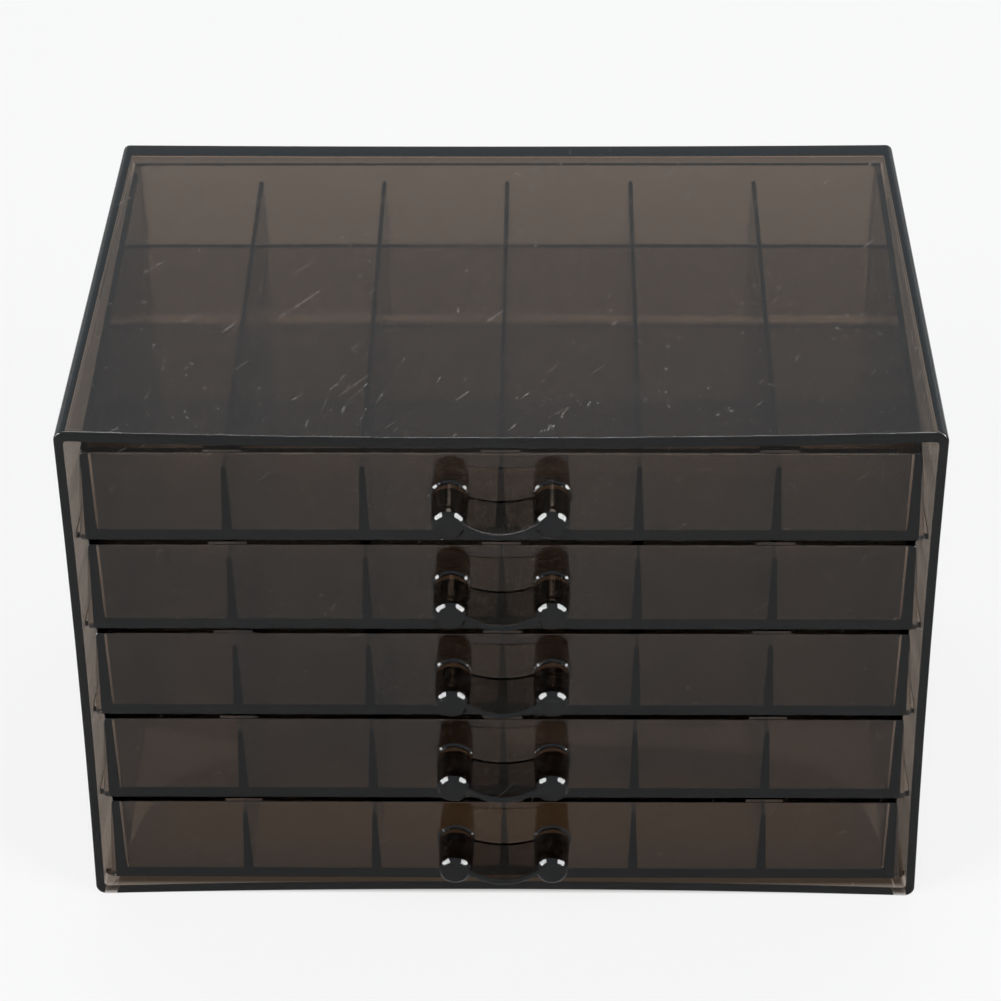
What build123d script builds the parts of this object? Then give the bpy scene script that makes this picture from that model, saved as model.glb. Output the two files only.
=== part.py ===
from build123d import *
import os

# A free-standing organizer: an open-fronted case moulded in smoked clear plastic,
# with a stack of shallow drawers that slide on ledges inside it. Each drawer is a
# tray, parted into lanes by drafted dividers moulded in one with it, and a handle
# of two round posts joined by a dished web, let into the tray's front.
# Millimetres. X runs to the right, Y from the open front to the back, Z up.
# The origin is on the base, at the middle of the case's footprint.

# Case: size over the corners of its mouth, walls, and draft from mouth to back
caseWidth = 237.0
caseHeight = 161.2
caseDepth = 157.2
caseNarrowing = 3.1
caseFall = 0.8
sideWall = 2.6
topWall = 3.0
baseWall = 3.1
backWall = 2.6

# Case: how far each wall has drawn in at its middle, and the roundings
topBowFront = 2.05
topBowBack = 0.45
baseBow = 2.1
baseBowReach = 70.0
baseTrim = 0.2
sideBow = 0.7
outerCornerFront = 3.0
outerCornerBack = 2.0
innerCorner = 1.2
rimRound = 0.5
backRound = 1.2
backCove = 3.2

# Ledges that carry the drawers
ledgeLap = 2.3
ledgeThick = 1.15
ledgeGusset = 1.45
ledgeSetback = 4.6
ledgeNose = 1.8
ledgeNoseShare = 0.9
gussetClearance = 0.4

# Drawer stack
drawerCount = 5
drawerGap = 1.6
baseClearance = 0.4
topClearance = 2.4
mouthSetback = 1.0
backClearance = 0.3

# Tray: each wall is thin at the rim and thick at the foot, as it draws from the mould
sideClearance = 0.3
footFlare = 0.6
sideRimWall = 1.7
sideFootWall = 2.9
backRimWall = 1.9
backFootWall = 2.8
frontRimWall = 2.4
frontFootWall = 2.9
floorThick = 2.35
pocketCorner = 1.5
panelFlare = 1.3
panelCorner = 0.8
edgeRound = 0.3
padWidth = 10.5
padHeight = 0.9
padEvery = 2

# Dividers between the lanes
laneCount = 6
dividerTop = 1.3
dividerFoot = 2.8
dividerDrop = 5.3
dividerBevel = 0.3

# Handle: two round posts and the dished web between them
postSpacing = 27.5
postBaseRadius = 5.0
postTipRadius = 4.55
postReach = 13.9
postChamfer = 0.8
postFlare = 0.6
postFlareLength = 0.4
spigotRadius = 3.2
spigotDepth = 1.2
spigotFit = 0.1
webThick = 1.9
webRise = 2.3
webSag = 4.4
webReach = 12.3
webBulge = 3.8
webRound = 0.6

# Worked-out sizes
mouthHalf = caseWidth / 2
backHalf = mouthHalf - caseNarrowing
cavityBack = caseDepth - backWall
stackFloor = baseWall + baseBow + baseClearance
stackTop = caseHeight - topBowFront - topWall - topClearance
slotPitch = (stackTop - stackFloor + drawerGap) / drawerCount
drawerHeight = slotPitch - drawerGap
trayFootHalf = mouthHalf - caseNarrowing * cavityBack / caseDepth - sideWall - sideClearance
trayRimHalf = trayFootHalf - footFlare
trayBack = cavityBack - backClearance
lanesHalf = trayFootHalf - sideFootWall
lanePitch = (2 * lanesHalf + dividerFoot) / laneCount
dividerHeight = drawerHeight - floorThick - dividerDrop
ledgeInner = trayFootHalf - ledgeLap
ledgeFlat = trayRimHalf + gussetClearance
ledgeNoseRound = min(ledgeNose, ledgeNoseShare * (ledgeFlat - ledgeInner))
centreY = caseDepth / 2

os.makedirs("parts", exist_ok=True)


def between(start, end, share):
    """Value a given share of the way from start to end."""
    return start + (end - start) * share


def upright(y):
    """Plane across the case at depth y: local x is X and local y is Z."""
    return Plane.XZ.offset(-y)


def drawerFloor(number):
    """Height of a drawer's underside, counted from 1 at the top."""
    return stackFloor + (drawerCount - number) * slotPitch


def dividerPlaces():
    """X of each divider, from left to right."""
    return [(index - laneCount / 2) * lanePitch for index in range(1, laneCount)]


def bowedEdge(start, end, inward):
    """Edge from start to end whose middle is drawn in by the given shift."""
    if inward == (0, 0):
        return Line(start, end)
    middle = ((start[0] + end[0]) / 2 + inward[0], (start[1] + end[1]) / 2 + inward[1])
    return ThreePointArc(start, middle, end)


# The case

def caseSection(y, side, base, roof, corner):
    """Cross-section of the case at depth y, inside walls of the given thickness."""
    share = y / caseDepth
    half = between(mouthHalf, backHalf, share) - side
    top = caseHeight - caseFall * share - roof
    sideIn = sideBow * (1 - share)
    topIn = between(topBowFront, topBowBack, share)
    baseIn = baseBow * max(0, 1 - y / baseBowReach)
    outline = make_face([
        bowedEdge((-half, base), (-half, top), (sideIn, 0)),
        bowedEdge((-half, top), (half, top), (0, -topIn)),
        bowedEdge((half, top), (half, base), (-sideIn, 0)),
        bowedEdge((half, base), (-half, base), (0, baseIn)),
    ])
    return upright(y) * fillet(outline.vertices(), corner)


def caseBlock():
    """Outside of the case: drafted, with rounded edges, and trimmed flat where it stands."""
    stations = [0, baseBowReach, caseDepth]
    corners = [between(outerCornerFront, outerCornerBack, y / caseDepth) for y in stations]
    sections = [caseSection(y, 0, -baseTrim, 0, corner) for y, corner in zip(stations, corners)]
    block = loft(sections, ruled=True)
    block = fillet(block.faces().sort_by(Axis.Y)[-1].edges(), backRound)
    block = fillet(block.faces().sort_by(Axis.Y)[0].edges(), rimRound)
    return split(block, Plane.XY, keep=Keep.TOP)


def caseCavity():
    """Space inside the case, open through its mouth."""
    stations = [-1, baseBowReach, cavityBack]
    return loft([caseSection(y, sideWall, baseWall, topWall, innerCorner) for y in stations], ruled=True)


def cove():
    """Rounded thickening along the inside of the top back edge."""
    roof = caseHeight - caseFall - topWall
    foot = roof - topBowBack - backCove
    outline = make_face([
        Line((cavityBack + backWall / 2, foot), (cavityBack, foot)),
        RadiusArc((cavityBack, foot), (cavityBack - backCove, foot + backCove), backCove),
        Line((cavityBack - backCove, foot + backCove), (cavityBack - backCove, roof + topWall / 2)),
        Line((cavityBack - backCove, roof + topWall / 2), (cavityBack + backWall / 2, roof + topWall / 2)),
        Line((cavityBack + backWall / 2, roof + topWall / 2), (cavityBack + backWall / 2, foot)),
    ])
    return extrude(Plane.YZ * outline, amount=backHalf - sideWall / 2, both=True)


def ledgePair(top, depth):
    """Two ledges, flat on top, with a gusset down the wall and a rounded front end."""
    back = cavityBack + backWall / 2
    rootFront = mouthHalf - sideWall / 2
    rootBack = backHalf - sideWall / 2

    def section(y, root):
        outline = Polyline(
            (ledgeInner, top),
            (root, top),
            (root, top - depth - ledgeGusset),
            (ledgeFlat, top - depth),
            (ledgeInner, top - depth),
            close=True)
        return upright(y) * make_face(outline)

    bar = loft([section(ledgeSetback, rootFront), section(back, rootBack)], ruled=True)
    noseEdge = bar.edges().filter_by(Axis.Z).sort_by(lambda edge: edge.center().X + edge.center().Y)[0]
    bar = fillet(noseEdge, ledgeNoseRound)
    return bar + mirror(bar, Plane.YZ)


def makeCase():
    """Case shell with a pair of ledges for each drawer; the lowest pair stands on the base."""
    shell = caseBlock() - caseCavity() + cove()
    for number in range(1, drawerCount):
        shell += ledgePair(drawerFloor(number), ledgeThick)
    shell += ledgePair(stackFloor, stackFloor - baseWall / 2 - ledgeGusset)
    return shell


# The drawers

def traySection(z, half, front, back, corner):
    """Plan of the tray at height z."""
    outline = RectangleRounded(2 * half, back - front, corner)
    return Pos(0, (front + back) / 2, z) * outline


def trayBlock():
    """Outside of the tray, flared towards its foot."""
    foot = traySection(0, trayFootHalf, mouthSetback + frontRimWall / 2, trayBack, panelCorner)
    rim = traySection(drawerHeight, trayRimHalf, mouthSetback + frontRimWall / 2, trayBack, panelCorner)
    return loft([foot, rim], ruled=True)


def trayPocket():
    """Space inside the tray's walls, wider at the rim."""
    front = mouthSetback + frontFootWall
    foot = traySection(floorThick, lanesHalf, front, trayBack - backFootWall, pocketCorner)
    front = mouthSetback + frontRimWall
    rim = traySection(drawerHeight, trayRimHalf - sideRimWall, front, trayBack - backRimWall, pocketCorner)
    return loft([foot, rim], ruled=True)


def frontPanel():
    """Front of the tray: wider at its foot, with shallow pads along its top edge."""
    outline = make_face(Polyline(
        (-trayFootHalf - panelFlare, 0),
        (trayFootHalf + panelFlare, 0),
        (trayRimHalf, drawerHeight),
        (-trayRimHalf, drawerHeight),
        close=True))
    outline = fillet(outline.vertices(), panelCorner)
    panel = extrude(upright(mouthSetback) * outline, amount=-frontRimWall)
    panel = fillet(panel.faces().sort_by(Axis.Y)[0].edges(), edgeRound)
    for place in dividerPlaces()[::padEvery]:
        pad = upright(mouthSetback + edgeRound) * Pos(place, drawerHeight) * Rectangle(padWidth, 2 * padHeight)
        panel += extrude(pad, amount=edgeRound - frontRimWall)
    return panel


def divider(place):
    """Drafted rib with bevelled top edges, from the front panel to the back wall."""
    footHalf = dividerFoot / 2
    topHalf = dividerTop / 2
    outline = make_face(Polyline(
        (-footHalf, floorThick / 2),
        (footHalf, floorThick / 2),
        (footHalf, floorThick),
        (topHalf, floorThick + dividerHeight),
        (-topHalf, floorThick + dividerHeight),
        (-footHalf, floorThick),
        close=True))
    outline = chamfer(outline.vertices().group_by(Axis.Y)[-1], dividerBevel)
    front = mouthSetback + frontRimWall / 2
    back = trayBack - backRimWall / 2
    return Pos(place, 0, 0) * extrude(upright(front) * outline, amount=front - back)


def makeTray():
    """Tray with its underside at height 0, and two blind recesses for the handle."""
    tray = trayBlock() - trayPocket() + frontPanel()
    for place in dividerPlaces():
        tray += divider(place)
    recess = upright(mouthSetback) * Circle(spigotRadius + spigotFit)
    recess = extrude(recess, amount=-spigotDepth - spigotFit)
    for side in (-1, 1):
        tray -= Pos(side * postSpacing / 2, 0, drawerHeight / 2) * recess
    return tray


def handlePost():
    """Post along -Y with its flared foot on the plane y = 0 and a spigot behind it."""
    profile = make_face(Polyline(
        (0, spigotDepth),
        (spigotRadius, spigotDepth),
        (spigotRadius, 0),
        (postBaseRadius + postFlare, 0),
        (postBaseRadius, -postFlareLength),
        (postTipRadius, postChamfer - postReach),
        (postTipRadius - postChamfer, -postReach),
        (0, -postReach),
        close=True))
    return revolve(profile, Axis.Y)


def handleWeb():
    """Plate between the posts, dished downwards, with a bulging front edge."""
    half = postSpacing / 2
    low = webRise - webThick / 2
    high = webRise + webThick / 2
    dish = make_face([
        ThreePointArc((-half, low), (0, low - webSag), (half, low)),
        Line((half, low), (half, high)),
        ThreePointArc((half, high), (0, high - webSag), (-half, high)),
        Line((-half, high), (-half, low)),
    ])
    plan = make_face([
        Line((-half, 0), (half, 0)),
        Line((half, 0), (half, -webReach)),
        ThreePointArc((half, -webReach), (0, -webReach - webBulge), (-half, -webReach)),
        Line((-half, -webReach), (-half, 0)),
    ])
    web = extrude(Plane.XZ * dish, amount=webReach + webBulge)
    web &= extrude(plan, amount=postBaseRadius, both=True)
    return fillet(web.faces().sort_by(Axis.Y)[0].edges().filter_by(GeomType.LINE, reverse=True), webRound)


def makeHandle():
    """Handle with its shoulder on the plane y = 0 and the post axes at height 0."""
    handle = handleWeb()
    for side in (-1, 1):
        handle += Pos(side * postSpacing / 2, 0, 0) * handlePost()
    return handle


def write(solid, name):
    export_step(Pos(0, -centreY, 0) * solid, f"parts/{name}.step")


write(makeCase(), "case_shell")
tray = makeTray()
handle = makeHandle()
for number in range(1, drawerCount + 1):
    height = drawerFloor(number)
    write(Pos(0, 0, height) * tray, f"drawer_{number}_tray")
    write(Pos(0, mouthSetback, height + drawerHeight / 2) * handle, f"drawer_{number}_handle")
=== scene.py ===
import math

import bpy
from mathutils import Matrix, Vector

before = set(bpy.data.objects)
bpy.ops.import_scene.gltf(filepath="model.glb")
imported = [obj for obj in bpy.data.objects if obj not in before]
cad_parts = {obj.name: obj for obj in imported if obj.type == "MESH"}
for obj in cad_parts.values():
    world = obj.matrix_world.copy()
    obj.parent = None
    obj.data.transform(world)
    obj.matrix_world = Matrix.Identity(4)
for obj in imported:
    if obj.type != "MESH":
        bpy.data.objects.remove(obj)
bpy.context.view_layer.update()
print("frame loaded:", len(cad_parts), "nodes")


# Camera where the photographer stood, found from the edges of the case in the photograph
cameraSet = {
    "position": (0.01452, -0.8505, 0.67696),
    "angles": (55.142, 0.454, 0.768),  # degrees about X, Y and Z
    "focalPixels": 3520.4,
    "imagePixels": 1001,
    "sensor": 36.0,
    "nearest": 0.01,
    "farthest": 50.0,
}


def makeCamera():
    data = bpy.data.cameras.new("camera")
    data.sensor_width = cameraSet["sensor"]
    data.lens = cameraSet["sensor"] * cameraSet["focalPixels"] / cameraSet["imagePixels"]
    data.clip_start = cameraSet["nearest"]
    data.clip_end = cameraSet["farthest"]
    camera = bpy.data.objects.new("camera", data)
    camera.location = cameraSet["position"]
    camera.rotation_euler = [math.radians(angle) for angle in cameraSet["angles"]]
    bpy.context.scene.collection.objects.link(camera)
    bpy.context.scene.camera = camera


makeCamera()
print("camera placed")


class Value:
    # A socket that takes Python arithmetic: each operator adds a Math node
    def __init__(self, shader, socket):
        self.shader = shader
        self.socket = socket

    def maths(self, operation, first, second=None):
        inputs = {0: first} if second is None else {0: first, 1: second}
        return self.shader.node("ShaderNodeMath", {"operation": operation}, inputs)

    def __add__(self, other):
        return self.maths("ADD", self, other)

    def __radd__(self, other):
        return self.maths("ADD", other, self)

    def __sub__(self, other):
        return self.maths("SUBTRACT", self, other)

    def __rsub__(self, other):
        return self.maths("SUBTRACT", other, self)

    def __mul__(self, other):
        return self.maths("MULTIPLY", self, other)

    def __rmul__(self, other):
        return self.maths("MULTIPLY", other, self)

    def __truediv__(self, other):
        return self.maths("DIVIDE", self, other)

    def __rtruediv__(self, other):
        return self.maths("DIVIDE", other, self)

    def above(self, other):
        return self.maths("GREATER_THAN", self, other)

    def atMost(self, other):
        return self.maths("MINIMUM", self, other)

    def atLeast(self, other):
        return self.maths("MAXIMUM", self, other)

    def size(self):
        return self.maths("ABSOLUTE", self)


class Shader:
    # A node tree being built, of a material or of the world
    def __init__(self, owner):
        self.owner = owner
        owner.use_nodes = True
        self.tree = owner.node_tree
        self.tree.nodes.clear()

    def node(self, kind, settings=None, inputs=None, output=0):
        made = self.tree.nodes.new(kind)
        for name, setting in (settings or {}).items():
            if name == "stops":
                self.setStops(made.color_ramp, setting)
            else:
                setattr(made, name, setting)
        for name, given in (inputs or {}).items():
            if isinstance(given, Value):
                self.tree.links.new(given.socket, made.inputs[name])
            else:
                made.inputs[name].default_value = given
        return Value(self, made.outputs[output] if made.outputs else None)

    def part(self, vector, axis):
        return self.node("ShaderNodeSeparateXYZ", None, {0: vector}, axis)

    def setStops(self, ramp, stops):
        while len(ramp.elements) < len(stops):
            ramp.elements.new(stops[-1][0])
        for element, (place, colour) in zip(ramp.elements, stops):
            element.position = place
            element.color = colour

    def finish(self, surface, volume=None):
        world = isinstance(self.owner, bpy.types.World)
        ends = {"Surface": surface} if volume is None else {"Surface": surface, "Volume": volume}
        self.node("ShaderNodeOutputWorld" if world else "ShaderNodeOutputMaterial", None, ends)


# Smoked plastic: clear at its surface, darker the further light travels inside it
smokedSet = {
    "ior": 1.55,
    "wallDensity": 340.0,  # absorption per metre, before its colour
    "handleDensity": 430.0,
    "colour": (0.31, 0.19, 0.075, 1),
    "clear": (1, 1, 1, 1),
    "polish": 0.02,  # roughness of the untouched surface
    "rubbed": 0.10,  # added in the soft patches where fingers have been
    "rubbedFrom": 0.5,
    "rubbedFull": 0.8,
    "patchScale": 22.0,
    "patchDetail": 3.0,
    "waveScale": 26.0,
    "waveDepth": 0.00006,
    "scuffColour": (0.42, 0.41, 0.40, 1),
    "scuffShare": 0.035,  # how much of the surface a scratch turns dull
    "dustShare": 0.07,
}

scratchSet = {
    "lines": ((0.35, 14.0, 0.745), (-0.62, 11.0, 0.752), (1.25, 9.0, 0.758)),  # turn, scale along, level
    "sideTurn": 0.7,  # share of the turn that is made about Y
    "fineAcross": 900.0,
    "fineUp": 720.0,
    "detail": 1.0,
    "fade": 0.03,
    "rough": 0.16,
    "depth": 0.00001,
}

dustSet = {
    "scale": 260.0,
    "reach": 0.07,
    "facingUp": 0.7,
}


def scratchLines(shader, place, turn, alongScale, level):
    # Thin streaks: noise drawn out along one direction and cut off near its peaks
    angles = (turn, turn * scratchSet["sideTurn"], turn)
    turned = shader.node(
        "ShaderNodeVectorRotate", {"rotation_type": "EULER_XYZ"}, {"Vector": place, "Rotation": angles})
    stretch = (scratchSet["fineAcross"], alongScale, scratchSet["fineUp"])
    drawn = shader.node("ShaderNodeVectorMath", {"operation": "MULTIPLY"}, {0: turned, 1: stretch})
    noise = shader.node(
        "ShaderNodeTexNoise", None, {"Vector": drawn, "Scale": 1.0, "Detail": scratchSet["detail"]})
    return shader.node(
        "ShaderNodeMapRange", {"interpolation_type": "SMOOTHSTEP"},
        {"Value": noise, "From Min": level, "From Max": level + scratchSet["fade"]})


def allScratches(shader, place):
    scratches = None
    for turn, alongScale, level in scratchSet["lines"]:
        lines = scratchLines(shader, place, turn, alongScale, level)
        scratches = lines if scratches is None else (scratches + lines).atMost(1)
    return scratches


def dustSpecks(shader, place):
    # Small round specks, only where the surface faces up
    cells = shader.node("ShaderNodeTexVoronoi", None, {"Vector": place, "Scale": dustSet["scale"]})
    specks = shader.node(
        "ShaderNodeMapRange", {"interpolation_type": "SMOOTHSTEP"},
        {"Value": cells, "From Min": dustSet["reach"], "From Max": 0.0})
    up = shader.part(shader.node("ShaderNodeNewGeometry", None, None, "Normal"), "Z")
    return specks * up.above(dustSet["facingUp"])


def smokedPlastic(name, density):
    material = bpy.data.materials.new(name)
    shader = Shader(material)
    place = shader.node("ShaderNodeTexCoord", None, None, "Object")
    scratches = allScratches(shader, place)
    patches = shader.node(
        "ShaderNodeTexNoise", None,
        {"Vector": place, "Scale": smokedSet["patchScale"], "Detail": smokedSet["patchDetail"]})
    rubbed = shader.node(
        "ShaderNodeMapRange", None,
        {"Value": patches, "From Min": smokedSet["rubbedFrom"], "From Max": smokedSet["rubbedFull"]})
    wave = shader.node(
        "ShaderNodeTexNoise", None, {"Vector": place, "Scale": smokedSet["waveScale"], "Detail": 0.0})
    height = wave * smokedSet["waveDepth"] - scratches * scratchSet["depth"]
    plain = shader.node("ShaderNodeBsdfPrincipled", None, {
        "Base Color": smokedSet["clear"],
        "Roughness": smokedSet["polish"] + rubbed * smokedSet["rubbed"] + scratches * scratchSet["rough"],
        "IOR": smokedSet["ior"],
        "Transmission Weight": 1.0,
        "Normal": shader.node("ShaderNodeBump", None, {"Height": height, "Distance": 1.0}),
    })
    dull = shader.node("ShaderNodeBsdfDiffuse", None, {"Color": smokedSet["scuffColour"]})
    marks = scratches * smokedSet["scuffShare"] + dustSpecks(shader, place) * smokedSet["dustShare"]
    surface = shader.node("ShaderNodeMixShader", None, {0: marks, 1: plain, 2: dull})
    volume = shader.node(
        "ShaderNodeVolumeAbsorption", None, {"Color": smokedSet["colour"], "Density": density})
    shader.finish(surface, volume)
    return material


wallPlastic = smokedPlastic("wallPlastic", smokedSet["wallDensity"])
handlePlastic = smokedPlastic("handlePlastic", smokedSet["handleDensity"])
for name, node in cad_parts.items():
    for slot in node.material_slots:
        slot.material = handlePlastic if name.endswith("handle") else wallPlastic
print("materials made")


# Studio: a pale floor and world, a tall soft light at each side of the camera and one above, behind the case
studioSet = {
    "glossyShare": 0.25,  # how much of the white background polished faces mirror
    "white": (1, 1, 1, 1),
    "worldColour": (0.40, 0.44, 0.47, 1),
    "whiteRise": (0.08, 0.35),  # as the height of a direction: below the first white, above the second grey
    "sideLight": {"place": (1.15, -0.75, 0.62), "size": (0.75, 1.15), "power": 38.0},
    "backLight": {"place": (0, 0.78, 1.45), "size": (1.6, 1.1), "power": 25.0},
    "target": (0, 0, 0.08),
    "bounces": 24,
    "glossyBounces": 12,
}

floorSet = {
    "size": 30.0,
    "colour": (0.120, 0.124, 0.128, 1),  # the floor without its glow
    "shade": (0.07, 0.07, 0.07, 1),  # the part of the pale floor that takes shadow
    "glow": 0.80,  # lifts the floor to white for the camera
    "footprint": (0.118, 0.078),  # half width and half depth of the case where it stands
    "paintedShadowReach": 0.078,  # how far in from the sides and the front the painted shadow stops run
    "paintedShadowBackReach": 0.004,
    # Painted shadow under the case: dark near its edges, painted brown light further in, white beyond
    "paintedShadowStops": (
        (0.0, (0.08, 0.06, 0.04, 1)),
        (0.3, (0.16, 0.11, 0.06, 1)),
        (0.5, (0.34, 0.25, 0.14, 1)),
        (0.7, (0.38, 0.27, 0.15, 1)),
        (0.96, (0.14, 0.12, 0.10, 1)),
        (1.0, (1, 1, 1, 1)),
    ),
}


def rays(shader, kind):
    return shader.node("ShaderNodeLightPath", None, None, kind)


def backgroundRays(shader):
    glossy = rays(shader, "Is Glossy Ray") * studioSet["glossyShare"]
    return (rays(shader, "Is Camera Ray") + rays(shader, "Is Transmission Ray") + glossy).atMost(1)


def makeWorld():
    world = bpy.data.worlds.new("studio")
    bpy.context.scene.world = world
    shader = Shader(world)
    lit = shader.node("ShaderNodeBackground", None, {"Color": studioSet["worldColour"], "Strength": 1.0})
    seen = shader.node("ShaderNodeBackground", None, {"Color": studioSet["white"], "Strength": 1.0})
    rise = shader.part(shader.node("ShaderNodeTexCoord", None, None, "Generated"), "Z")
    low, high = studioSet["whiteRise"]
    white = shader.node(
        "ShaderNodeMapRange", {"interpolation_type": "SMOOTHSTEP"},
        {"Value": rise, "From Min": high, "From Max": low})
    share = (backgroundRays(shader) * white).atLeast(rays(shader, "Is Camera Ray"))
    shader.finish(shader.node("ShaderNodeMixShader", None, {0: share, 1: lit, 2: seen}))


def floorWhiteAndPaintedShadow(shader):
    # White outside the case; under it, painted shadow and painted brown light, standing in for the shade of
    # the case and the light that comes down through the plastic
    halfWide, halfDeep = floorSet["footprint"]
    place = shader.node("ShaderNodeTexCoord", None, None, "Object")
    across = shader.part(place, "X").size() - halfWide
    deep = shader.part(place, "Y")
    near = across.atLeast(deep * -1 - halfDeep) / floorSet["paintedShadowReach"]
    share = near.atLeast((deep - halfDeep) / floorSet["paintedShadowBackReach"]) + 1
    return shader.node("ShaderNodeValToRGB", {"stops": floorSet["paintedShadowStops"]}, {"Fac": share})


def makeFloor():
    half = floorSet["size"] / 2
    corners = [(-half, -half, 0), (half, -half, 0), (half, half, 0), (-half, half, 0)]
    mesh = bpy.data.meshes.new("floor")
    mesh.from_pydata(corners, [], [(0, 1, 2, 3)])
    floor = bpy.data.objects.new("floor", mesh)
    bpy.context.scene.collection.objects.link(floor)
    material = bpy.data.materials.new("floor")
    shader = Shader(material)
    plain = shader.node("ShaderNodeBsdfDiffuse", None, {"Color": floorSet["colour"]})
    shade = shader.node("ShaderNodeBsdfDiffuse", None, {"Color": floorSet["shade"]})
    # The glow's colour holds the painted shadow and painted brown light under the case
    glow = shader.node(
        "ShaderNodeEmission", None, {"Color": floorWhiteAndPaintedShadow(shader), "Strength": floorSet["glow"]})
    pale = shader.node("ShaderNodeAddShader", None, {0: glow, 1: shade})
    shader.finish(shader.node("ShaderNodeMixShader", None, {0: backgroundRays(shader), 1: plain, 2: pale}))
    mesh.materials.append(material)


def softbox(name, settings, side):
    data = bpy.data.lights.new(name, "AREA")
    data.shape = "RECTANGLE"
    data.size, data.size_y = settings["size"]
    data.energy = settings["power"]
    light = bpy.data.objects.new(name, data)
    across, deep, up = settings["place"]
    light.location = (across * side, deep, up)
    toTarget = Vector(studioSet["target"]) - light.location
    light.rotation_euler = toTarget.to_track_quat("-Z", "Y").to_euler()
    bpy.context.scene.collection.objects.link(light)


def makeStudio():
    makeWorld()
    makeFloor()
    softbox("leftLight", studioSet["sideLight"], -1)
    softbox("rightLight", studioSet["sideLight"], 1)
    softbox("backLight", studioSet["backLight"], 1)
    scene = bpy.context.scene
    scene.view_settings.view_transform = "Standard"
    scene.cycles.max_bounces = studioSet["bounces"]
    scene.cycles.transmission_bounces = studioSet["bounces"]
    scene.cycles.glossy_bounces = studioSet["glossyBounces"]


makeStudio()
print("studio lit")
